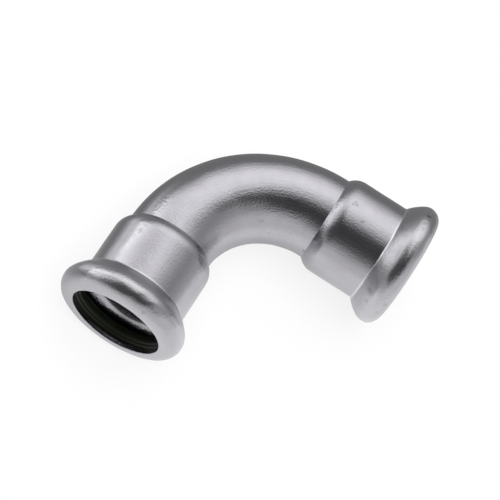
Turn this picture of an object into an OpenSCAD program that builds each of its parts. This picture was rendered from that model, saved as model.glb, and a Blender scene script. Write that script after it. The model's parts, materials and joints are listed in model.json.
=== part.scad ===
// Press-fit pipe elbow: one formed steel tube with a press socket at each end, and a
// rubber O-ring held in the bead of each socket. It lies on a level surface as it comes
// to rest, on both beads and the heel of the bend, so the mouths point a little upwards.

/* [Pipe] */
// Outside diameter of the pipe that the sockets take, and of the tube that is bent
pipe_d = 22; // [18:1:28]
// Radial gap between the pipe and a socket's bore
pipe_gap = 0.2; // [0.1:0.05:0.4]

/* [Bend] */
// Angle that the bend turns the flow through
bend_angle = 90; // [60:5:90]
// Radius of the bend's centre line
bend_r = 28.4; // [24:0.2:60]
// Thickness of the steel, the same all along the elbow
wall = 1.6; // [1:0.1:2]

/* [Socket] */
// Straight tube between the end of the bend and the foot of the shoulder
stub_l = 0.1; // [0.1:0.1:10]
// Slope of the cone that widens the tube into the socket, from the socket's axis
shoulder_angle = 36; // [25:1:60]
// Outer radius that rounds the cone into the socket, where the pipe stops
shoulder_r = 2.9; // [2.4:0.1:5]
// Length from the foot of the shoulder to the crease behind the bead
socket_l = 15.6; // [10:0.1:30]

/* [Bead] */
// Slope of the bead's back flank where it rises from the crease, from the socket's axis
flank_angle = 50; // [45:1:60]
// Radius that rounds the flank on its way to the bead
flank_r = 14; // [12:1:30]
// Radial gap between the pipe and the curled lip of the mouth
lip_gap = 0.47; // [0.3:0.01:0.6]
// Radius on the two edges of the lip
lip_edge_r = 0.4; // [0.1:0.05:0.5]

/* [O-ring] */
// Diameter of the O-ring's section
seal_d = 3.5; // [3:0.1:5]
// Radial gap between the O-ring and the pipe before pressing
seal_gap = 0.1; // [0.05:0.01:0.15]
// Gap between the O-ring and the bead that curls round it
seal_fit = 0.05; // [0.02:0.01:0.2]
// Radius of the two grooves that part the ribs on the sealing face
groove_r = 0.25; // [0.1:0.05:0.4]
// Angle about the section's centre from the middle rib to each groove
rib_angle = 30; // [20:1:40]

/* [Hidden] */
$fn = 96;

steel = "#a09fa3";
rubber = "#161714";

// Radii across the tube, the socket and the O-ring
tube_r = pipe_d / 2;
bore_r = tube_r + pipe_gap;
socket_r = bore_r + wall;
ring_r = tube_r + seal_gap + seal_d / 2;
seat_r = seal_d / 2 + seal_fit;
bead_r = seat_r + wall;
crest_r = ring_r + bead_r;

// Places along a socket's axis, from the end of the bend
cone_rise = socket_r - tube_r - shoulder_r * (1 - cos(shoulder_angle));
stop_s = stub_l + cone_rise / tan(shoulder_angle) + shoulder_r * sin(shoulder_angle);
crease_s = stub_l + socket_l;

// Slope at which the flank runs into the bead, and the place of the bead that it leads to
bead_angle = acos((ring_r - socket_r + flank_r * cos(flank_angle)) / (flank_r - bead_r));
crest_s = crease_s + flank_r * sin(flank_angle) - (flank_r - bead_r) * sin(bead_angle);

// Heading of the lip's end about the bead's centre, which leaves the lip's gap to the
// pipe, and how much of the bead's two faces its rounded edges take up
front_trim = asin(lip_edge_r / (bead_r - lip_edge_r));
seat_trim = asin(lip_edge_r / (seat_r + lip_edge_r));
lip_heading = 90 + front_trim + asin((ring_r - tube_r - lip_gap - lip_edge_r) / (bead_r - lip_edge_r));

// Largest step between the points of an arc in a section
arc_step = 7.5;

// Heading of the heel of the bend, which points a right-angle elbow's outlet along X and
// its inlet along -Y, and the headings of the bend's two ends
heel_heading = 135;
half_turn = bend_angle / 2;
outlet_heading = heel_heading - half_turn;
inlet_heading = heel_heading + half_turn;

// Axis of each socket and the centre of its bead, with the bend's centre at the origin
outlet_axis = [sin(outlet_heading), -cos(outlet_heading), 0];
outlet_bead = bend_r * [cos(outlet_heading), sin(outlet_heading), 0] + crest_s * outlet_axis;
inlet_axis = [-sin(inlet_heading), cos(inlet_heading), 0];
inlet_bead = bend_r * [cos(inlet_heading), sin(inlet_heading), 0] + crest_s * inlet_axis;

// Tilt about a level hinge line that brings the heel of the bend and both beads down to
// one level: the heel lies further out than the beads by heel_arm, and each pass refines
// the last
hinge = [sin(heel_heading), -cos(heel_heading), 0];
heel_arm = bend_r - bend_r * cos(half_turn) + crest_s * sin(half_turn);
function bead_dip(tilt) = ring_r * (1 - sqrt(1 - pow(sin(half_turn) * sin(tilt), 2)));
function settle(tilt, passes) =
    passes == 0 ? tilt : settle(asin((crest_r - tube_r - bead_dip(tilt)) / heel_arm), passes - 1);
tilt_passes = 12;
tilt = settle(0, tilt_passes);

// Place of the bend's centre: over the surface by its lift, and off the middle of the
// elbow's width, which lies half way between the beads' furthest points along X and Y
sunk_heel = [cos(heel_heading) * cos(tilt), sin(heel_heading) * cos(tilt), sin(tilt)];
x_along = hinge[0] * hinge + cos(heel_heading) * sunk_heel;
y_along = hinge[1] * hinge + sin(heel_heading) * sunk_heel;
function bead_reach(bead, axis, along) = bead * along + ring_r * sqrt(1 - pow(axis * along, 2)) + bead_r;
function reach(along) =
    max(bead_reach(outlet_bead, outlet_axis, along), bead_reach(inlet_bead, inlet_axis, along));
function middle(along) = (reach(along) - reach(-along)) / 2;
lift = bend_r * sin(tilt) + tube_r;

// Unit vector at an angle from X
function heading(turn) = [cos(turn), sin(turn)];

// Points of an arc about a centre, both ends included
function arc(centre, radius, from, to) =
    let (steps = ceil(abs(to - from) / arc_step))
    [for (i = [0:steps]) centre + radius * heading(from + (to - from) * i / steps)];

// Section of the formed wall of a socket: radius in X, distance from the bend in Y.
// It runs out along the outer face, round the lip and back along the inner face. An arc
// that runs smoothly into the next one stops a step short of the point that they share.
module socket_section() {
    foot = [tube_r, stub_l];
    shoulder = [socket_r - shoulder_r, stop_s];
    crease = [socket_r, crease_s];
    flank = crease - flank_r * heading(-flank_angle);
    bead = [ring_r, crest_s];
    front_edge = bead + (bead_r - lip_edge_r) * heading(lip_heading - front_trim);
    seat_edge = bead + (seat_r + lip_edge_r) * heading(lip_heading - seat_trim);

    polygon(concat(
        [[tube_r, 0], foot],
        arc(shoulder, shoulder_r, -shoulder_angle, 0),
        arc(flank, flank_r, -flank_angle, -bead_angle - arc_step),
        arc(bead, bead_r, -bead_angle, lip_heading - front_trim - arc_step),
        arc(front_edge, lip_edge_r, lip_heading - front_trim, lip_heading + 90),
        arc(seat_edge, lip_edge_r, lip_heading + 90, lip_heading + 180 - seat_trim),
        arc(bead, seat_r, lip_heading - seat_trim - arc_step, arc_step - bead_angle),
        arc(flank, flank_r - wall, -bead_angle, arc_step - flank_angle),
        arc(crease, wall, 180 - flank_angle, 180),
        arc(shoulder, shoulder_r - wall, 0, -shoulder_angle),
        arc(foot, wall, 180 - shoulder_angle, 180),
        [[tube_r - wall, 0]]
    ));
}

// Section of the O-ring, with two grooves on the face towards the pipe
module seal_section() {
    translate([ring_r, crest_s]) difference() {
        circle(seal_d / 2);
        for (side = [-1, 1]) rotate(180 + side * rib_angle) translate([seal_d / 2, 0]) circle(groove_r);
    }
}

// Swept tube of the bend, about the bend's centre
module bend_tube() {
    rotate_extrude(angle = bend_angle, start = outlet_heading) translate([bend_r, 0]) difference() {
        circle(tube_r);
        circle(tube_r - wall);
    }
}

// Sets a socket's parts on the end of the bend that they belong to
module at_outlet() {
    rotate(outlet_heading) translate([bend_r, 0, 0]) rotate([90, 0, 0]) children();
}

module at_inlet() {
    rotate(inlet_heading) translate([bend_r, 0, 0]) rotate([-90, 0, 0]) children();
}

// Lays the elbow on the surface, with the origin under the middle of it
module at_rest() {
    translate([-middle(x_along), -middle(y_along), lift]) rotate(-tilt, hinge) children();
}

// The elbow: bend and both sockets, formed from one tube
module elbow_body() {
    color(steel) at_rest() union() {
        bend_tube();
        at_inlet() rotate_extrude() socket_section();
        at_outlet() rotate_extrude() socket_section();
    }
}

// O-ring of the inlet socket
module inlet_o_ring() {
    color(rubber) at_rest() at_inlet() rotate_extrude() seal_section();
}

// O-ring of the outlet socket
module outlet_o_ring() {
    color(rubber) at_rest() at_outlet() rotate_extrude() seal_section();
}

elbow_body();
inlet_o_ring();
outlet_o_ring();
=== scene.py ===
"""Looks of a press-fit pipe elbow that lies on a pale studio floor.

The steel body and the two rubber O-rings are worked out again as fine numpy grids from the sizes of the
part's source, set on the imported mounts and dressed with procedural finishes. Lengths are in millimetres
until a mesh is made, and in metres from there on.
"""

import sys

import json
import logging
import math
from dataclasses import dataclass
from enum import Enum
from typing import Any

import bpy
import numpy as np
from mathutils import Matrix
from numpy.typing import NDArray


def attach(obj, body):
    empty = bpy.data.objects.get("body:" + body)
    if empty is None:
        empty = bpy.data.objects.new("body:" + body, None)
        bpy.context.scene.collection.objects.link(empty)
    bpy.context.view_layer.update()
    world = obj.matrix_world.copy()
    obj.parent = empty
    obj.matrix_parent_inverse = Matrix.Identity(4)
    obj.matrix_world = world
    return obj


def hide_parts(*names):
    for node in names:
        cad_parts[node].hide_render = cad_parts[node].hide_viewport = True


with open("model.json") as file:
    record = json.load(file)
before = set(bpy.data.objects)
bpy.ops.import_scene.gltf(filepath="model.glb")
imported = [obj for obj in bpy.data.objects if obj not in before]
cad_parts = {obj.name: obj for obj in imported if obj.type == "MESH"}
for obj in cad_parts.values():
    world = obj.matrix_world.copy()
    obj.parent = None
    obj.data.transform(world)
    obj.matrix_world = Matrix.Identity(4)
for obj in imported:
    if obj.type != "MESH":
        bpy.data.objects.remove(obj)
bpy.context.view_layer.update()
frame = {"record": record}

Array = NDArray[np.float64]
MM = 0.001
ROOT = "root"
NOISE_SPAN = (0.3, 0.7)
log = logging.getLogger("press_elbow")


class End(Enum):
    """The two sockets of the elbow; the value is the sign of their run along the spine."""

    INLET = -1
    OUTLET = 1


class PanelShape(Enum):
    """Outline of a lit or dark panel on the light tent."""

    ROUND = "round"
    SQUARE = "square"


def linear(hex_colour: str) -> tuple[float, float, float, float]:
    """Turns an sRGB hex colour into linear RGBA.

    Args:
        hex_colour: Colour such as "#a1b2c3".

    Returns:
        Red, green, blue and alpha, each from 0 to 1.
    """
    parts = [int(hex_colour[i:i + 2], 16) / 255 for i in (1, 3, 5)]
    curve = [p / 12.92 if p <= 0.04045 else ((p + 0.055) / 1.055) ** 2.4 for p in parts]
    return curve[0], curve[1], curve[2], 1.0


def add_node(
    tree: bpy.types.NodeTree, kind: str, inputs: dict[Any, Any] | None = None, **settings: Any
) -> Any:
    """Adds a node, sets it up and links it.

    Args:
        tree: Node tree that gets the node.
        kind: Blender's type name of the node.
        inputs: Input sockets by name or number; an output socket is linked and any other value is set.
        settings: Properties of the node itself.

    Returns:
        The new node.
    """
    node = tree.nodes.new(kind)
    for name, value in settings.items():
        setattr(node, name, value)
    for name, value in (inputs or {}).items():
        if isinstance(value, bpy.types.NodeSocket):
            tree.links.new(value, node.inputs[name])
        else:
            node.inputs[name].default_value = value
    return node


def noise(
    tree: bpy.types.NodeTree, place: Any, scale: float, detail: float = 2.0, roughness: float = 0.5
) -> Any:
    """Adds a noise texture at a place and gives its value."""
    return add_node(tree, "ShaderNodeTexNoise", {
        "Vector": place, "Scale": scale, "Detail": detail, "Roughness": roughness}).outputs["Fac"]


def noise_range(tree: bpy.types.NodeTree, value: Any, ends: tuple[float, float]) -> Any:
    """Adds a map of a noise's usual span onto the range between two ends and gives its result."""
    return add_node(tree, "ShaderNodeMapRange", {
        "Value": value, "From Min": NOISE_SPAN[0], "From Max": NOISE_SPAN[1],
        "To Min": ends[0], "To Max": ends[1]}).outputs["Result"]


def mix_values(tree: bpy.types.NodeTree, share: Any, first: Any, second: Any) -> Any:
    """Adds a mix of two values and gives its result."""
    return add_node(tree, "ShaderNodeMix", {
        "Factor": share, "A": first, "B": second}, data_type="FLOAT").outputs["Result"]


def mix_colours(tree: bpy.types.NodeTree, share: Any, first: Any, second: Any) -> Any:
    """Adds a mix of two colours, which are the node's inputs 6 and 7, and gives its result, output 2."""
    return add_node(tree, "ShaderNodeMix", {
        "Factor": share, 6: first, 7: second}, data_type="RGBA").outputs[2]


def new_material(name: str) -> tuple[bpy.types.Material, bpy.types.NodeTree, Any]:
    """Makes an empty node material.

    Args:
        name: Name of the material.

    Returns:
        The material, its node tree and its output node.
    """
    material = bpy.data.materials.new(name)
    material.use_nodes = True
    tree = material.node_tree
    tree.nodes.clear()
    return material, tree, tree.nodes.new("ShaderNodeOutputMaterial")


def smoothstep(low: float, high: float, values: Array) -> Array:
    """Gives 0 below low, 1 above high and the cubic 3t^2 - 2t^3 of the share t in between."""
    share = np.clip((values - low) / (high - low), 0.0, 1.0)
    return share * share * (3.0 - 2.0 * share)


def soft_inside(half: float, edge: float, off: Array) -> Array:
    """Gives 1 nearer than half, 0 further off, and a falling smoothstep over the edge in between."""
    return 1.0 - smoothstep(half - edge / 2, half + edge / 2, off)


def direction(azimuth: Array | float, elevation: Array | float) -> Array:
    """Gives unit directions (cos e cos a, cos e sin a, sin e) for azimuths a and elevations e in radians."""
    level = np.cos(elevation)
    return np.stack([level * np.cos(azimuth), level * np.sin(azimuth), np.sin(elevation)], axis=-1)


def arc(centre: tuple[float, float], radius: float, start: float, stop: float, count: int) -> Array:
    """Samples an arc of a section: centre plus radius times (cosine, sine) of an angle from start to stop.

    Args:
        centre: Distance from the axis and place along it, in mm.
        radius: Radius in mm.
        start: First angle in degrees, from the way that leads off the axis.
        stop: Last angle in degrees.
        count: Number of points, both ends included.

    Returns:
        Points as rows of (distance from the axis, place along the axis).
    """
    turn = np.radians(np.linspace(start, stop, count))
    return np.stack([centre[0] + radius * np.cos(turn), centre[1] + radius * np.sin(turn)], axis=1)


def rounded(before: Array, corner: Array, after: Array, count: int) -> Array:
    """Rounds a corner by the quadratic curve (1-t)^2 before + 2t(1-t) corner + t^2 after.

    Args:
        before: Point where the curve leaves the first edge.
        corner: The sharp corner.
        after: Point where the curve meets the second edge.
        count: Number of points, both ends included.

    Returns:
        Points along the curve.
    """
    t = np.linspace(0.0, 1.0, count)[:, None]
    return (1 - t) ** 2 * before + 2 * t * (1 - t) * corner + t ** 2 * after


def grid_object(
    name: str,
    points: Array,
    wrap_rows: bool = False,
    wrap_columns: bool = False,
    attributes: dict[str, Array] | None = None,
) -> bpy.types.Object:
    """Makes an object whose mesh joins each point of a grid to the next one along its row and its column.

    Args:
        name: Name of the object.
        points: Grid of points in metres, of shape (rows, columns, 3).
        wrap_rows: Whether the last row joins the first one.
        wrap_columns: Whether the last column joins the first one.
        attributes: Values of the points by name, of shape (rows, columns), or (rows, columns, 3) for vectors.

    Returns:
        The object, linked to the scene, at the origin and smooth shaded.
    """
    rows, columns = points.shape[:2]
    i, j = np.meshgrid(
        np.arange(rows if wrap_rows else rows - 1),
        np.arange(columns if wrap_columns else columns - 1),
        indexing="ij",
    )
    down, across = (i + 1) % rows, (j + 1) % columns
    corners = np.stack([
        i * columns + j, down * columns + j, down * columns + across, i * columns + across,
    ], axis=-1).reshape(-1, 4)
    mesh = bpy.data.meshes.new(name)
    mesh.vertices.add(rows * columns)
    mesh.vertices.foreach_set("co", points.reshape(-1).astype(np.float32))
    mesh.loops.add(corners.size)
    mesh.loops.foreach_set("vertex_index", corners.reshape(-1).astype(np.int32))
    mesh.polygons.add(len(corners))
    mesh.polygons.foreach_set("loop_start", np.arange(0, corners.size, 4, dtype=np.int32))
    mesh.update(calc_edges=True)
    mesh.shade_smooth()
    for key, values in (attributes or {}).items():
        vector = values.ndim == 3
        layer = mesh.attributes.new(key, "FLOAT_VECTOR" if vector else "FLOAT", "POINT")
        layer.data.foreach_set("vector" if vector else "value", values.reshape(-1).astype(np.float32))
    obj = bpy.data.objects.new(name, mesh)
    bpy.context.scene.collection.objects.link(obj)
    return obj


@dataclass(frozen=True)
class ElbowSizes:
    """Sizes of the elbow in mm and degrees, the same as in the part's source."""

    tube_r: float = 11.0
    pipe_gap: float = 0.2
    bend_angle: float = 90.0
    bend_r: float = 28.4
    heel_heading: float = 135.0
    wall: float = 1.6
    stub_l: float = 0.1
    shoulder_angle: float = 36.0
    shoulder_r: float = 2.9
    socket_l: float = 15.6
    flank_angle: float = 50.0
    flank_r: float = 14.0
    lip_gap: float = 0.47
    lip_edge_r: float = 0.4
    seal_d: float = 3.5
    seal_gap: float = 0.1
    seal_fit: float = 0.05
    groove_r: float = 0.25
    rib_angle: float = 30.0

    @property
    def bore_r(self) -> float:
        """Radius of a socket's bore."""
        return self.tube_r + self.pipe_gap

    @property
    def socket_r(self) -> float:
        """Outer radius of a socket."""
        return self.bore_r + self.wall

    @property
    def ring_r(self) -> float:
        """Radius of the O-ring's centre line."""
        return self.tube_r + self.seal_gap + self.seal_d / 2

    @property
    def seat_r(self) -> float:
        """Radius of the bead's inner face about the O-ring's centre line."""
        return self.seal_d / 2 + self.seal_fit

    @property
    def bead_r(self) -> float:
        """Radius of the bead's outer face about the O-ring's centre line."""
        return self.seat_r + self.wall

    @property
    def stop_s(self) -> float:
        """Place along the socket's axis where the shoulder ends."""
        turn = math.radians(self.shoulder_angle)
        rise = self.socket_r - self.tube_r - self.shoulder_r * (1 - math.cos(turn))
        return self.stub_l + rise / math.tan(turn) + self.shoulder_r * math.sin(turn)

    @property
    def crease_s(self) -> float:
        """Place along the socket's axis of the crease behind the bead."""
        return self.stub_l + self.socket_l

    @property
    def flank_centre(self) -> tuple[float, float]:
        """Centre of the flank's arc: distance from the axis and place along it."""
        turn = math.radians(self.flank_angle)
        return self.socket_r - self.flank_r * math.cos(turn), self.crease_s + self.flank_r * math.sin(turn)

    @property
    def bead_angle(self) -> float:
        """Slope at which the flank runs into the bead, in degrees."""
        return math.degrees(math.acos((self.ring_r - self.flank_centre[0]) / (self.flank_r - self.bead_r)))

    @property
    def crest_s(self) -> float:
        """Place along the socket's axis of the bead's centre."""
        return self.flank_centre[1] - (self.flank_r - self.bead_r) * math.sin(math.radians(self.bead_angle))

    @property
    def front_trim(self) -> float:
        """Angle of the bead's outer face that the lip's front edge takes up."""
        return math.degrees(math.asin(self.lip_edge_r / (self.bead_r - self.lip_edge_r)))

    @property
    def seat_trim(self) -> float:
        """Angle of the bead's inner face that the lip's seat edge takes up."""
        return math.degrees(math.asin(self.lip_edge_r / (self.seat_r + self.lip_edge_r)))

    @property
    def lip_heading(self) -> float:
        """Heading of the lip's end about the bead's centre."""
        reach = (self.ring_r - self.tube_r - self.lip_gap - self.lip_edge_r) / (self.bead_r - self.lip_edge_r)
        return 90 + self.front_trim + math.degrees(math.asin(reach))

    @property
    def half_bend(self) -> float:
        """Length along the spine from the middle of the bend to its end."""
        return self.bend_r * math.radians(self.bend_angle / 2)


class Spine:
    """Centre line of the elbow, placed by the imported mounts: a straight run, the bend and a straight run."""

    def __init__(self, sizes: ElbowSizes, mounts: dict[str, dict[str, Any]]) -> None:
        """Works out the bend's centre and axes from the two socket mounts.

        Args:
            sizes: Sizes of the elbow.
            mounts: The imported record's mounts by name.
        """
        self.sizes = sizes
        outlet, inlet = mounts["outlet_socket"], mounts["inlet_socket"]
        self.x_axis = np.array(outlet["axis"], float)
        self.y_axis = -np.array(inlet["axis"], float)
        self.z_axis = np.cross(self.x_axis, self.y_axis)
        self.z_axis /= np.linalg.norm(self.z_axis)
        out_pos, in_pos = np.array(outlet["pos_m"], float) / MM, np.array(inlet["pos_m"], float) / MM
        mount_s = (out_pos - in_pos) @ self.x_axis - sizes.bend_r
        self.centre = out_pos - mount_s * self.x_axis - sizes.bend_r * self.y_axis

    def place(self, run: Array, radius: Array, turn: Array) -> Array:
        """Carries points along the spine: the centre line at run, plus radius times the direction at turn.

        Args:
            run: Length along the spine from the middle of the bend in mm, towards the outlet.
            radius: Distance from the spine in mm.
            turn: Angle about the spine in radians, from the outside of the bend towards its upper side.

        Returns:
            Points in the row frame in metres, with the three coordinates last.
        """
        half = self.sizes.half_bend
        bent = np.clip(run, -half, half)
        straight = run - bent
        heading = math.radians(self.sizes.heel_heading) - bent / self.sizes.bend_r
        outward = np.cos(heading)[..., None] * self.x_axis + np.sin(heading)[..., None] * self.y_axis
        forward = np.sin(heading)[..., None] * self.x_axis - np.cos(heading)[..., None] * self.y_axis
        off_axis = np.cos(turn)[..., None] * outward + np.sin(turn)[..., None] * self.z_axis
        points = self.sizes.bend_r * outward + straight[..., None] * forward + radius[..., None] * off_axis
        return (points + self.centre) * MM


@dataclass(frozen=True)
class SteelFinish:
    """Mild steel tube, cold formed and zinc plated.

    Plating leaves a neutral, faintly blue-violet grey metal with a satin gloss. Forming leaves a fine grain,
    short draw marks along the tube, tool lines round the beads and duller flanks and shoulders. The crests
    are painted a little paler, the crease gets a thin painted highlight line, and the dents are painted
    darker.
    """

    name: str = "zinc_plated_steel_cold_formed"
    plate_hex: str = "#bebdc2"
    cloud_hex: str = "#b2b0b6"
    # Paler colour for the crests, also used for the painted highlight line in the crease
    paler_crest_highlight_hex: str = "#e2e1e4"
    # Dark grey painted into the dents
    dent_dark_hex: str = "#3a3a3b"
    cloud_mm: float = 5.0
    cloud_detail: float = 3.0
    cloud_roughness: float = 0.6
    grain_mm: float = 0.5
    draw_width_mm: float = 0.4
    draw_length_mm: float = 6.0
    tool_line_mm: float = 0.4
    relief_mm: float = 0.13
    grain_share: float = 0.65
    lay_share: float = 0.4
    roughness: tuple[float, float] = (0.17, 0.26)
    formed_roughness: float = 0.1

    def lines(self, tree: bpy.types.NodeTree, tube: Any, along_mm: float, across_mm: float) -> Any:
        """Adds a noise drawn out by its lengths along and across the tube, and gives its value."""
        stretched = add_node(tree, "ShaderNodeMapping", {
            "Vector": tube, "Scale": (1 / along_mm, 1 / across_mm, 1 / across_mm)}).outputs["Vector"]
        return noise(tree, stretched, 1.0)

    def material(self) -> bpy.types.Material:
        """Builds the node material.

        Returns:
            The finished material, which reads the body's tube, bead, coarse and formed attributes, and
            those of the paler crests with the painted crease highlight and of the dents painted darker.
        """
        material, tree, output = new_material(self.name)
        tube = add_node(tree, "ShaderNodeAttribute", attribute_name="tube").outputs["Vector"]
        bead, coarse, formed, rub, dent_darkening = (
            add_node(tree, "ShaderNodeAttribute", attribute_name=name).outputs["Fac"]
            for name in ("bead", "coarse", "formed", "rub", "dent_darkening"))
        # Grain, draw marks and tool lines are drawn coarser than the real ones, which are under 0.1 mm wide
        clouds = noise(tree, tube, 1 / self.cloud_mm, self.cloud_detail, self.cloud_roughness)
        grain = noise(tree, tube, 1 / self.grain_mm)
        draw = self.lines(tree, tube, self.draw_length_mm, self.draw_width_mm)
        tool = self.lines(tree, tube, self.tool_line_mm, self.draw_length_mm)
        lay = mix_values(tree, bead, draw, tool)
        relief = mix_values(tree, self.grain_share, lay, grain)
        colour = mix_colours(tree, clouds, linear(self.plate_hex), linear(self.cloud_hex))
        # Crests painted a little paler, and a painted highlight line along the crease
        colour = mix_colours(tree, rub, colour, linear(self.paler_crest_highlight_hex))
        # Dents painted darker
        colour = mix_colours(tree, dent_darkening, colour, linear(self.dent_dark_hex))
        gloss = noise_range(tree, mix_values(tree, self.lay_share, clouds, lay), self.roughness)
        gloss = add_node(tree, "ShaderNodeMath", {
            0: formed, 1: self.formed_roughness, 2: gloss}, operation="MULTIPLY_ADD").outputs[0]
        bump = add_node(tree, "ShaderNodeBump", {
            "Strength": coarse, "Distance": self.relief_mm * MM, "Height": relief}).outputs["Normal"]
        shader = add_node(tree, "ShaderNodeBsdfPrincipled", {
            "Base Color": colour, "Metallic": 1.0, "Roughness": gloss, "Normal": bump})
        tree.links.new(shader.outputs["BSDF"], output.inputs["Surface"])
        return material


@dataclass(frozen=True)
class RubberFinish:
    """Black EPDM rubber, moulded.

    It is near black with a faint green tint, a dull sheen and a fine moulded grain.
    """

    name: str = "epdm_rubber_moulded"
    dark_hex: str = "#12160b"
    pale_hex: str = "#191d12"
    grain_mm: float = 0.5
    bloom_mm: float = 4.0
    bloom_detail: float = 3.0
    relief_mm: float = 0.004
    roughness: tuple[float, float] = (0.45, 0.6)
    ior: float = 1.5
    specular_level: float = 0.35

    def material(self) -> bpy.types.Material:
        """Builds the node material.

        Returns:
            The finished material, on Object coordinates.
        """
        material, tree, output = new_material(self.name)
        place = add_node(tree, "ShaderNodeTexCoord").outputs["Object"]
        # The moulded grain is drawn coarser than the real one, which is under 0.1 mm
        grain = noise(tree, place, 1 / (self.grain_mm * MM))
        bloom = noise(tree, place, 1 / (self.bloom_mm * MM), self.bloom_detail)
        colour = mix_colours(tree, bloom, linear(self.dark_hex), linear(self.pale_hex))
        gloss = noise_range(tree, bloom, self.roughness)
        bump = add_node(tree, "ShaderNodeBump", {
            "Strength": 1.0, "Distance": self.relief_mm * MM, "Height": grain}).outputs["Normal"]
        shader = add_node(tree, "ShaderNodeBsdfPrincipled", {
            "Base Color": colour, "Roughness": gloss, "IOR": self.ior,
            "Specular IOR Level": self.specular_level, "Normal": bump})
        tree.links.new(shader.outputs["BSDF"], output.inputs["Surface"])
        return material


@dataclass(frozen=True)
class Dent:
    """A small dent in the outer face: its place, spread, depth and how much darker it is painted.

    The face moves towards the spine by depth times exp(-(distance / spread)^2), and the painted darkening
    spreads alike.
    """

    run: float
    turn_deg: float
    spread: float
    depth: float
    dent_darkening: float = 0.0

    def cover(self, run: Array, radius: Array, turn: Array) -> Array:
        """Gives how much of the dent each point has.

        Args:
            run: Length along the spine in mm.
            radius: Distance from the spine in mm.
            turn: Angle about the spine in radians.

        Returns:
            Shares from 0 to 1.
        """
        apart = np.angle(np.exp(1j * (turn - math.radians(self.turn_deg)))) * radius
        return np.exp(-((run - self.run) ** 2 + apart ** 2) / self.spread ** 2)


@dataclass(frozen=True)
class Unevenness:
    """Faint waves that forming leaves in a face: how high they are, and how long and how wide they run.

    The face moves off the spine by height times the mean of several sines of the run and the turn. Their
    lengths, whole numbers of waves round the spine and starts are drawn from a fixed seed.
    """

    height: float
    length: tuple[float, float]
    round_count: tuple[int, int]
    seed: int
    sines: int = 10

    def offset(self, run: Array, turn: Array) -> Array:
        """Gives how far each point moves off the spine.

        Args:
            run: Length along the spine in mm.
            turn: Angle about the spine in radians.

        Returns:
            Offsets in mm.
        """
        draw = np.random.default_rng(self.seed)
        rate = 2 * math.pi / draw.uniform(*self.length, self.sines)
        count = draw.integers(*self.round_count, self.sines, endpoint=True) * draw.choice([-1, 1], self.sines)
        start = draw.uniform(0.0, 2 * math.pi, self.sines)
        phase = run[..., None] * rate + turn[..., None] * count + start
        return self.height * np.sin(phase).mean(axis=-1)


@dataclass(frozen=True)
class SectionPoints:
    """Numbers of points along the stretches of the elbow's section loop."""

    bend: int = 100
    foot: int = 5
    shoulder: int = 20
    socket: int = 36
    crease: int = 7
    flank: int = 12
    bead: int = 38
    front: int = 5
    lip: int = 9
    seat: int = 16
    inner_flank: int = 5
    inner_round: int = 7
    inner_bend: int = 16


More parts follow.
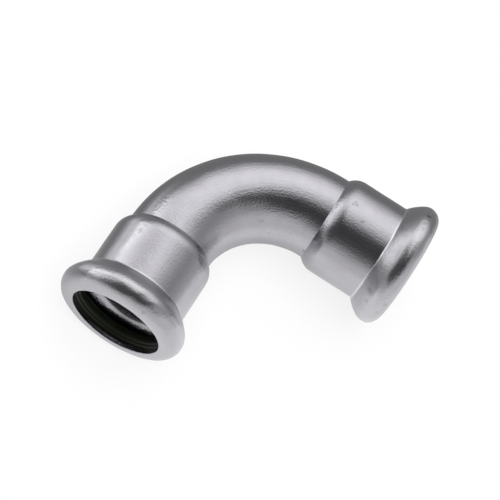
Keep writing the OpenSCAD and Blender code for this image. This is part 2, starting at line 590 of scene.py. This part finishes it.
@dataclass
class PressElbow:
    """The steel elbow: a bent tube formed at both ends into a press socket.

    Its section loop runs out of the inlet's lip, along the outer face to the outlet's lip and back along the
    inner face. The loop is carried round the spine, which closes the surface both ways.
    """

    sizes: ElbowSizes
    spine: Spine
    finish: SteelFinish
    points: SectionPoints = SectionPoints()
    columns: int = 216
    # Forms finer than in the part's source: lengths in mm, and the power of the shoulder's curve
    foot_round: float = 0.08
    shoulder_l: float = 4.1
    shoulder_power: float = 2.4
    crease_round: float = 0.4
    front_gap: float = 0.6
    front_round: float = 0.25
    # Edges of the finish's zones: mm from the crease, the bend's end, the shoulder's end and the bead's
    # centre, and for the crest a share of the bead's radius
    bead_edge: float = 0.5
    shoulder_start: tuple[float, float] = (-0.2, 0.4)
    shoulder_stop: tuple[float, float] = (-1.0, 0.5)
    front_start: tuple[float, float] = (-2.0, -0.5)
    crest_start: float = 0.6
    # Half width of the painted highlight line in the crease in mm, and the strength of the finish in each zone
    crease_highlight_half: float = 0.22
    crest_pale_share: float = 0.2
    bend_grain: float = 0.62
    socket_grain: float = 0.42
    bead_grain: float = 0.6
    shoulder_dull: float = 0.4
    front_gloss: float = 0.6
    bore_gloss: float = 0.8
    # Marks of forming and handling
    tube_waves: Unevenness = Unevenness(0.05, (7.0, 18.0), (0, 6), 11)
    bead_waves: Unevenness = Unevenness(0.09, (3.0, 8.0), (8, 30), 23)
    dents: tuple[Dent, ...] = (
        Dent(26.3, 83.0, 0.3, 0.03, 0.5), Dent(26.9, 85.5, 0.3, 0.03, 0.6),
        Dent(26.0, 87.0, 0.3, 0.03, 0.5), Dent(30.1, 99.0, 0.35, 0.03, 0.5),
        Dent(-28.1, 59.8, 0.6, 0.05, 0.3), Dent(-26.4, 61.6, 0.4, 0.03, 0.2),
        Dent(43.0, 58.0, 0.55, 0.1, 0.8), Dent(42.8, 70.2, 0.5, 0.06, 0.2), Dent(45.3, 156.0, 0.4, 0.03, 0.3),
        Dent(21.9, 177.0, 0.5, 0.15, 0.5), Dent(22.7, 174.0, 0.4, -0.12),
        Dent(6.3, 162.0, 0.35, 0.03, 0.2), Dent(1.8, 142.2, 0.3, 0.03, 0.2),
        Dent(2.4, 142.4, 0.3, 0.03, 0.25), Dent(3.0, 142.6, 0.3, 0.03, 0.2),
        Dent(39.7, 82.0, 0.9, 0.02, 0.2), Dent(43.1, 77.0, 0.4, 0.03, 0.3),
        Dent(40.3, 153.0, 0.7, 0.03, 0.3), Dent(41.1, 164.0, 0.35, 0.03, 0.4),
        Dent(44.7, 168.0, 0.3, 0.02, 0.3), Dent(-46.1, 109.0, 0.3, 0.03, 0.35),
    )

    def outer_face(self) -> Array:
        """Gives the outer face of one socket, from the end of the bend to the front of the lip.

        It climbs the shoulder by the share 1 - (1 - t)^power of its height at the share t of its length, then
        runs along the socket, up the rounded flank, over the bead and in along the lip. The shoulder's foot
        and the crease are rounded a little, as forming leaves them, and the lip's front is flattened.

        Returns:
            Points as rows of (distance from the axis, place along the axis), in mm.
        """
        z, count = self.sizes, self.points
        foot, crease = np.array([z.tube_r, z.stub_l]), np.array([z.socket_r, z.crease_s])
        t = np.linspace(self.foot_round / self.shoulder_l, 1.0, count.shoulder)
        climb = (z.socket_r - z.tube_r) * (1 - (1 - t) ** self.shoulder_power)
        shoulder = foot + np.stack([climb, self.shoulder_l * t], axis=1)
        crease_start = crease - [0.0, self.crease_round]
        crease_turn = math.degrees(self.crease_round / z.flank_r)
        flank = arc(z.flank_centre, z.flank_r, crease_turn - z.flank_angle, -z.bead_angle, count.flank)
        front = z.crest_s + z.bead_r
        front_edge = (z.tube_r + self.front_gap + self.front_round, front - self.front_round)
        return np.concatenate([
            rounded(foot - [0.0, self.foot_round], foot, shoulder[0], count.foot),
            shoulder[1:],
            np.linspace(shoulder[-1], crease_start, count.socket)[1:-1],
            rounded(crease_start, crease, flank[0], count.crease),
            flank[1:],
            arc((z.ring_r, z.crest_s), z.bead_r, -z.bead_angle, 90.0, count.bead)[1:],
            np.linspace((z.ring_r, front), (front_edge[0], front), count.front)[1:-1],
            arc(front_edge, self.front_round, 90.0, z.lip_heading + 90, count.lip),
        ])

    def inner_face(self) -> Array:
        """Gives the inner face of one socket, from the back of the lip to the end of the bend.

        It is made of the same arcs as in the part's source: the lip's rounded edge, the seat of the O-ring,
        the flank, the crease, the shoulder and its foot.

        Returns:
            Points as rows of (distance from the axis, place along the axis), in mm.
        """
        z, count, small = self.sizes, self.points, self.points.inner_round
        seat_edge = self.lip_centre(z.seat_r + z.lip_edge_r, z.lip_heading - z.seat_trim)
        return np.concatenate([
            arc(seat_edge, z.lip_edge_r, z.lip_heading + 90, z.lip_heading + 180 - z.seat_trim, small)[1:-1],
            arc((z.ring_r, z.crest_s), z.seat_r, z.lip_heading - z.seat_trim, -z.bead_angle, count.seat),
            arc(z.flank_centre, z.flank_r - z.wall, -z.bead_angle, -z.flank_angle, count.inner_flank)[1:],
            arc((z.socket_r, z.crease_s), z.wall, 180 - z.flank_angle, 180.0, small)[1:],
            arc((z.socket_r - z.shoulder_r, z.stop_s), z.shoulder_r - z.wall, 0.0, -z.shoulder_angle, small),
            arc((z.tube_r, z.stub_l), z.wall, 180 - z.shoulder_angle, 180.0, small),
        ])

    def lip_centre(self, radius: float, heading: float) -> tuple[float, float]:
        """Gives the centre of a rounded edge of the lip, at a radius and heading about the bead's centre."""
        z = self.sizes
        turn = math.radians(heading)
        return z.ring_r + radius * math.cos(turn), z.crest_s + radius * math.sin(turn)

    def loop(self) -> tuple[Array, Array, Array]:
        """Joins both sockets and the bend into the closed section loop.

        Returns:
            Run along the spine and distance from it, both in mm, and 1 on the outer face or 0 on the inner.
        """
        z = self.sizes
        outer, inner = self.outer_face(), self.inner_face()
        bend_out = np.linspace(-z.half_bend, z.half_bend, self.points.bend)
        bend_in = np.linspace(z.half_bend, -z.half_bend, self.points.inner_bend)
        run = np.concatenate([
            -(z.half_bend + outer[::-1, 1]), bend_out, z.half_bend + outer[:, 1],
            z.half_bend + inner[:, 1], bend_in, -(z.half_bend + inner[::-1, 1]),
        ])
        radius = np.concatenate([
            outer[::-1, 0], np.full_like(bend_out, z.tube_r), outer[:, 0],
            inner[:, 0], np.full_like(bend_in, z.tube_r - z.wall), inner[::-1, 0],
        ])
        outside = np.zeros_like(run)
        outside[:2 * len(outer) + len(bend_out)] = 1.0
        return run, radius, outside

    def zones(self, along: Array, radius: Array, outside: Array) -> dict[str, Array]:
        """Works out the shares that the finish reads, from smoothsteps of the place along the socket.

        The bead starts at the crease, the shoulder lies round its curve, and the bead's front starts just
        before its crest. The crest is told by its distance from the spine, and the painted highlight line
        along the crease is a bell curve.

        Args:
            along: Distance from the end of the bend along the spine in mm, less than 0 in the bend.
            radius: Distance from the spine in mm.
            outside: 1 on the outer face and 0 on the inner.

        Returns:
            The share of the bead, the strength of the grain, how much duller than drawn tube the face is
            (less than 0 in the bore, which is smoother), and how much paler the crest is painted together with
            the painted highlight line in the crease.
        """
        z = self.sizes
        bead = smoothstep(z.crease_s, z.crease_s + self.bead_edge, along) * outside
        past_shoulder = smoothstep(z.stop_s + self.shoulder_stop[0], z.stop_s + self.shoulder_stop[1], along)
        shoulder = smoothstep(*self.shoulder_start, along) * (1.0 - past_shoulder)
        front = smoothstep(z.crest_s + self.front_start[0], z.crest_s + self.front_start[1], along)
        crest = smoothstep(z.ring_r + self.crest_start * z.bead_r, z.ring_r + z.bead_r, radius)
        coarse = self.bend_grain + (self.socket_grain - self.bend_grain) * smoothstep(0.0, z.stop_s, along)
        coarse = coarse + (self.bead_grain - coarse) * bead
        formed = np.maximum(bead * (1.0 - self.front_gloss * front), self.shoulder_dull * shoulder * outside)
        formed = formed - self.bore_gloss * (1.0 - outside)
        # The crests are painted a little paler, and the bell curve is a painted highlight line along the
        # crease
        rub = outside * (self.crest_pale_share * crest + np.exp(-((along - z.crease_s) / self.crease_highlight_half) ** 2))
        return {"bead": bead, "coarse": coarse, "formed": formed, "rub": rub}

    def build(self) -> bpy.types.Object:
        """Makes the body's mesh: the section loop at every angle round the spine, with its waves and dents.

        Returns:
            The body, with its tube, bead, coarse and formed attributes, and those of the paler crests with
            the painted crease highlight and of the dents painted darker.
        """
        run, radius, outside = self.loop()
        turn = np.linspace(0.0, 2 * math.pi, self.columns, endpoint=False)
        run, turn = np.meshgrid(run, -turn, indexing="ij")
        radius = np.repeat(radius[:, None], self.columns, axis=1)
        outside = np.repeat(outside[:, None], self.columns, axis=1)
        zones = self.zones(np.abs(run) - self.sizes.half_bend, radius, outside)
        bead = zones["bead"]
        waves = (1.0 - bead) * self.tube_waves.offset(run, turn) + bead * self.bead_waves.offset(run, turn)
        covers = [(dent, dent.cover(run, radius, turn) * outside) for dent in self.dents]
        # How much darker each point is painted, from the dents it lies in
        dent_darkening = np.clip(sum(dent.dent_darkening * cover for dent, cover in covers), 0.0, 1.0)
        radius = radius + outside * waves - sum(dent.depth * cover for dent, cover in covers)
        points = self.spine.place(run, radius, turn)
        tube = np.stack([run, radius * np.cos(turn), radius * np.sin(turn)], axis=-1)
        return grid_object("elbow_shell", points, True, True, {"tube": tube, **zones, "dent_darkening": dent_darkening})

    def dress(self, obj: bpy.types.Object) -> None:
        """Gives the body its finish and its place in the frame."""
        obj.data.materials.append(self.finish.material())
        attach(obj, ROOT)
        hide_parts("elbow_body")


@dataclass
class SealRing:
    """The O-ring of one socket: a ring of round section with two grooves that leave three sealing ribs."""

    sizes: ElbowSizes
    spine: Spine
    end: End
    finish: RubberFinish
    around: int = 192
    section: int = 96
    flash: float = 0.03
    flash_width: float = 0.08

    def build(self) -> bpy.types.Object:
        """Makes the ring: its round section, less the grooves and plus a line of mould flash, round the axis.

        Each groove takes the depth sqrt(groove_r^2 - x^2) at the distance x along the section from its
        middle, and the flash is a bell curve.

        Returns:
            The ring's object.
        """
        z = self.sizes
        angle = np.linspace(0.0, 2 * math.pi, self.section, endpoint=False)
        off = np.abs(np.angle(np.exp(1j * (angle - math.pi))))
        across = (off - math.radians(z.rib_angle)) * z.seal_d / 2
        groove = np.sqrt(np.clip(z.groove_r ** 2 - across ** 2, 0.0, None))
        flash = self.flash * np.exp(-(off * z.seal_d / 2 / self.flash_width) ** 2)
        section = z.seal_d / 2 - groove + flash
        turn = np.linspace(0.0, 2 * math.pi, self.around, endpoint=False)
        side = self.end.value
        along = z.crest_s + section * np.sin(angle)
        run, turn = np.meshgrid(side * (z.half_bend + along), side * turn, indexing="ij")
        radius = np.repeat((z.ring_r + section * np.cos(angle))[:, None], self.around, axis=1)
        points = self.spine.place(run, radius, turn)
        return grid_object(f"{self.end.name.lower()}_seal", points, True, True)

    def dress(self, obj: bpy.types.Object) -> None:
        """Gives the ring its finish and its place in the frame."""
        obj.data.materials.append(self.finish.material())
        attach(obj, ROOT)
        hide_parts(f"{self.end.name.lower()}_o_ring")


@dataclass(frozen=True)
class LightPanel:
    """A panel of the light tent: where it lies, its half sizes and soft edge in degrees, and its level."""

    azimuth: float
    elevation: float
    half_width: float
    half_height: float
    edge: float
    level: float
    shape: PanelShape = PanelShape.SQUARE

    def cover(self, ways: Array) -> Array:
        """Gives how far the panel covers each direction: 1 inside, 0 outside, and a smoothstep over its edge.

        Args:
            ways: Unit directions, with the three coordinates last.

        Returns:
            Cover from 0 to 1.
        """
        azimuth, elevation = math.radians(self.azimuth), math.radians(self.elevation)
        ahead = direction(azimuth, elevation)
        right = np.array([-math.sin(azimuth), math.cos(azimuth), 0.0])
        up = np.cross(ahead, right)
        x = np.degrees(np.arctan2(ways @ right, ways @ ahead))
        y = np.degrees(np.arctan2(ways @ up, np.hypot(ways @ ahead, ways @ right)))
        if self.shape is PanelShape.ROUND:
            off = np.hypot(x, y * self.half_width / self.half_height)
            return soft_inside(self.half_width, self.edge, off)
        wide = soft_inside(self.half_width, self.edge, np.abs(x))
        return wide * soft_inside(self.half_height, self.edge, np.abs(y))


@dataclass
class LightTent:
    """Pale cloth tent round the object, with brighter and darker panels that the metal mirrors.

    The tent is seen by light rays only, so it never stands in a view.
    """

    radius: float = 1.3
    columns: int = 120
    rows: int = 60
    lowest: float = -1.0
    highest: float = 89.9
    level: float = 0.34
    panels: tuple[LightPanel, ...] = (
        LightPanel(302.5, -34.1, 89.1, 79.8, 52.2, 0.82),
        LightPanel(169.7, 34.4, 24.6, 60.7, 17.6, 2.19),
        LightPanel(113.1, 42.1, 40.2, 30.4, 56.6, 1.41, PanelShape.ROUND),
        LightPanel(214.5, 56.2, 44.7, 36.1, 37.3, 0.08, PanelShape.ROUND),
        LightPanel(335.7, 73.5, 27.1, 24.3, 29.0, 0.05, PanelShape.ROUND),
        LightPanel(173.7, 27.1, 14.5, 18.6, 27.9, 0.91, PanelShape.ROUND),
        LightPanel(359.7, 54.1, 13.1, 7.0, 33.5, 0.62, PanelShape.ROUND),
    )

    def build(self) -> bpy.types.Object:
        """Makes the dome as a grid of azimuth and elevation, each point with the level of the panels over it.

        Returns:
            The tent's object.
        """
        azimuth, elevation = np.meshgrid(
            np.radians(np.linspace(0.0, 360.0, self.columns, endpoint=False)),
            np.radians(np.linspace(self.lowest, self.highest, self.rows)),
        )
        ways = direction(azimuth, elevation)
        level = np.full(azimuth.shape, self.level)
        for panel in self.panels:
            cover = panel.cover(ways)
            level = level * (1.0 - cover) + panel.level * cover
        return grid_object("light_tent", ways * self.radius, False, True, {"level": level})

    def dress(self, obj: bpy.types.Object) -> None:
        """Gives the tent its glow and hides it from the camera."""
        material, tree, output = new_material("tent_cloth_lit")
        level = add_node(tree, "ShaderNodeAttribute", attribute_name="level").outputs["Fac"]
        glow = add_node(tree, "ShaderNodeEmission", {"Strength": level})
        tree.links.new(glow.outputs["Emission"], output.inputs["Surface"])
        obj.data.materials.append(material)
        obj.visible_camera = False


@dataclass
class FloorFlag:
    """Grey card on the floor behind the bend, which darkens the upper rim of the metal as in the photograph.

    A notch in it leaves a strip of white floor, which lights the flanks of the inlet's arm. Like the tent it
    stands in no view, and only the metal mirrors it.
    """

    azimuth: float = 129.0
    start: float = -0.0290
    fade: float = 0.0584
    notch_azimuth: float = 163.0
    notch_start: float = 0.045
    notch_fade: float = 0.05
    notch_aside: float = 0.02
    notch_half: float = 0.03
    notch_edge: float = 0.03
    half: float = 0.9
    fine: float = 0.3
    fine_points: int = 151
    level: float = 0.25
    height: float = 0.0002

    def cover(self, x: Array, y: Array) -> Array:
        """Gives how far the card covers the floor: a smoothstep along its azimuth, less the notch.

        The notch is a smoothstep along its own azimuth times one across it.

        Args:
            x: Places on the floor along X, in metres.
            y: Places on the floor along Y, in metres.

        Returns:
            Cover from 0 to 1.
        """
        way, notch = math.radians(self.azimuth), math.radians(self.notch_azimuth)
        card = smoothstep(self.start, self.start + self.fade, x * math.cos(way) + y * math.sin(way))
        out = x * math.cos(notch) + y * math.sin(notch)
        aside = np.abs(y * math.cos(notch) - x * math.sin(notch) - self.notch_aside)
        gap = smoothstep(self.notch_start, self.notch_start + self.notch_fade, out)
        return card * (1.0 - gap * soft_inside(self.notch_half, self.notch_edge, aside))

    def build(self) -> bpy.types.Object:
        """Makes the card as a flat grid, fine near the object, with its cover at each point.

        Returns:
            The card's object.
        """
        near = np.linspace(-self.fine, self.fine, self.fine_points)
        places = np.concatenate([[-self.half], near, [self.half]])
        x, y = np.meshgrid(places, places, indexing="ij")
        points = np.stack([x, y, np.full_like(x, self.height)], axis=-1)
        return grid_object("floor_flag", points, attributes={"cover": self.cover(x, y)})

    def dress(self, obj: bpy.types.Object) -> None:
        """Gives the card its grey, clear where its cover fades, and hides it from camera, matt and shadow
        rays.
        """
        material, tree, output = new_material("grey_card")
        cover = add_node(tree, "ShaderNodeAttribute", attribute_name="cover").outputs["Fac"]
        grey = add_node(tree, "ShaderNodeEmission", {"Strength": self.level})
        clear = add_node(tree, "ShaderNodeBsdfTransparent")
        mixed = add_node(tree, "ShaderNodeMixShader", {
            0: cover, 1: clear.outputs["BSDF"], 2: grey.outputs["Emission"]})
        tree.links.new(mixed.outputs["Shader"], output.inputs["Surface"])
        obj.data.materials.append(material)
        obj.visible_camera = False
        obj.visible_diffuse = False
        obj.visible_shadow = False


@dataclass
class StudioFloor:
    """Plain pale floor, white to the camera and in the metal, which keeps the object's soft shadow."""

    half: float = 0.9
    points: int = 91
    colour_hex: str = "#f6f6f6"
    white_share: float = 0.8
    shadow_reach: tuple[float, float] = (0.1, 0.3)

    def build(self) -> bpy.types.Object:
        """Makes the floor as a flat square grid, with how white the camera sees each point.

        That is the white share near the object, where its shadow falls, and a smoothstep up to 1 further out.

        Returns:
            The floor's object.
        """
        places = np.linspace(-self.half, self.half, self.points)
        x, y = np.meshgrid(places, places, indexing="ij")
        white = self.white_share + (1 - self.white_share) * smoothstep(*self.shadow_reach, np.hypot(x, y))
        level = np.stack([x, y, np.zeros_like(x)], axis=-1)
        return grid_object("studio_floor", level, attributes={"white": white})

    def dress(self, obj: bpy.types.Object) -> None:
        """Gives the floor its paper, white where the camera or a mirrored ray looks at it."""
        material, tree, output = new_material("white_paper_matt")
        path = add_node(tree, "ShaderNodeLightPath").outputs
        white = add_node(tree, "ShaderNodeAttribute", attribute_name="white").outputs["Fac"]
        seen = add_node(tree, "ShaderNodeMath", {
            0: path["Is Camera Ray"], 1: white}, operation="MULTIPLY").outputs[0]
        share = add_node(tree, "ShaderNodeMath", {
            0: path["Is Glossy Ray"], 1: self.white_share, 2: seen}, operation="MULTIPLY_ADD").outputs[0]
        paper = add_node(tree, "ShaderNodeBsdfDiffuse", {"Color": linear(self.colour_hex)})
        glow = add_node(tree, "ShaderNodeEmission", {"Strength": 1.0})
        mixed = add_node(tree, "ShaderNodeMixShader", {
            0: share, 1: paper.outputs["BSDF"], 2: glow.outputs["Emission"]})
        tree.links.new(mixed.outputs["Shader"], output.inputs["Surface"])
        obj.data.materials.append(material)


@dataclass
class StudioLight:
    """White room behind the tent, and a soft lamp overhead that lights matt surfaces to a plain level."""

    lamp_height: float = 1.0
    lamp_size: float = 1.0
    lamp_power: float = 9.0

    def build(self) -> None:
        """Makes the world and the lamp."""
        world = bpy.data.worlds.new("white_room")
        world.use_nodes = True
        tree = world.node_tree
        tree.nodes.clear()
        white = add_node(tree, "ShaderNodeBackground", {"Color": (1.0, 1.0, 1.0, 1.0), "Strength": 1.0})
        output = tree.nodes.new("ShaderNodeOutputWorld")
        tree.links.new(white.outputs["Background"], output.inputs["Surface"])
        bpy.context.scene.world = world
        data = bpy.data.lights.new("overhead_softbox", "AREA")
        data.size = self.lamp_size
        data.energy = self.lamp_power
        lamp = bpy.data.objects.new("overhead_softbox", data)
        lamp.location = (0.0, 0.0, self.lamp_height)
        lamp.visible_glossy = False
        bpy.context.scene.collection.objects.link(lamp)


@dataclass
class PhotoCamera:
    """Camera at the photograph's viewing angle, from a fit of the outline, in mm and unit vectors."""

    position: tuple[float, float, float] = (-54.588, -108.504, 371.566)
    ahead: tuple[float, float, float] = (0.1395, 0.2897, -0.9469)
    up: tuple[float, float, float] = (-0.57975, 0.79912, 0.15907)
    lens: float = 112.81
    sensor: float = 36.0

    def build(self) -> bpy.types.Object:
        """Makes the camera and gives it to the scene.

        Returns:
            The camera's object.
        """
        data = bpy.data.cameras.new("photo_camera")
        data.lens = self.lens
        data.sensor_width = self.sensor
        data.sensor_fit = "HORIZONTAL"
        back = -np.array(self.ahead)
        back /= np.linalg.norm(back)
        right = np.cross(np.array(self.up), back)
        right /= np.linalg.norm(right)
        turned = np.eye(4)
        turned[:3, :3] = np.stack([right, np.cross(back, right), back], axis=1)
        turned[:3, 3] = np.array(self.position) * MM
        camera = bpy.data.objects.new("photo_camera", data)
        camera.matrix_world = Matrix(turned.tolist())
        bpy.context.scene.collection.objects.link(camera)
        bpy.context.scene.camera = camera
        return camera


def main() -> None:
    """Builds the elbow, its O-rings and the studio in order, and reports each piece."""
    logging.basicConfig(level=logging.INFO, format="%(name)s: %(message)s", stream=sys.stdout)
    bpy.context.scene.view_settings.view_transform = "Standard"
    sizes = ElbowSizes()
    mounts = {mount["name"]: mount for mount in frame["record"]["mounts"]}
    spine = Spine(sizes, mounts)
    rubber = RubberFinish()
    pieces: list[PressElbow | SealRing] = [PressElbow(sizes, spine, SteelFinish())]
    pieces += [SealRing(sizes, spine, end, rubber) for end in End]
    for piece in [*pieces, StudioFloor(), LightTent(), FloorFlag()]:
        obj = piece.build()
        piece.dress(obj)
        log.info("%s: %d points, %d faces", obj.name, len(obj.data.vertices), len(obj.data.polygons))
    StudioLight().build()
    camera = PhotoCamera().build()
    log.info("%s: lens %.1f mm", camera.name, camera.data.lens)


if __name__ == "__main__":
    main()
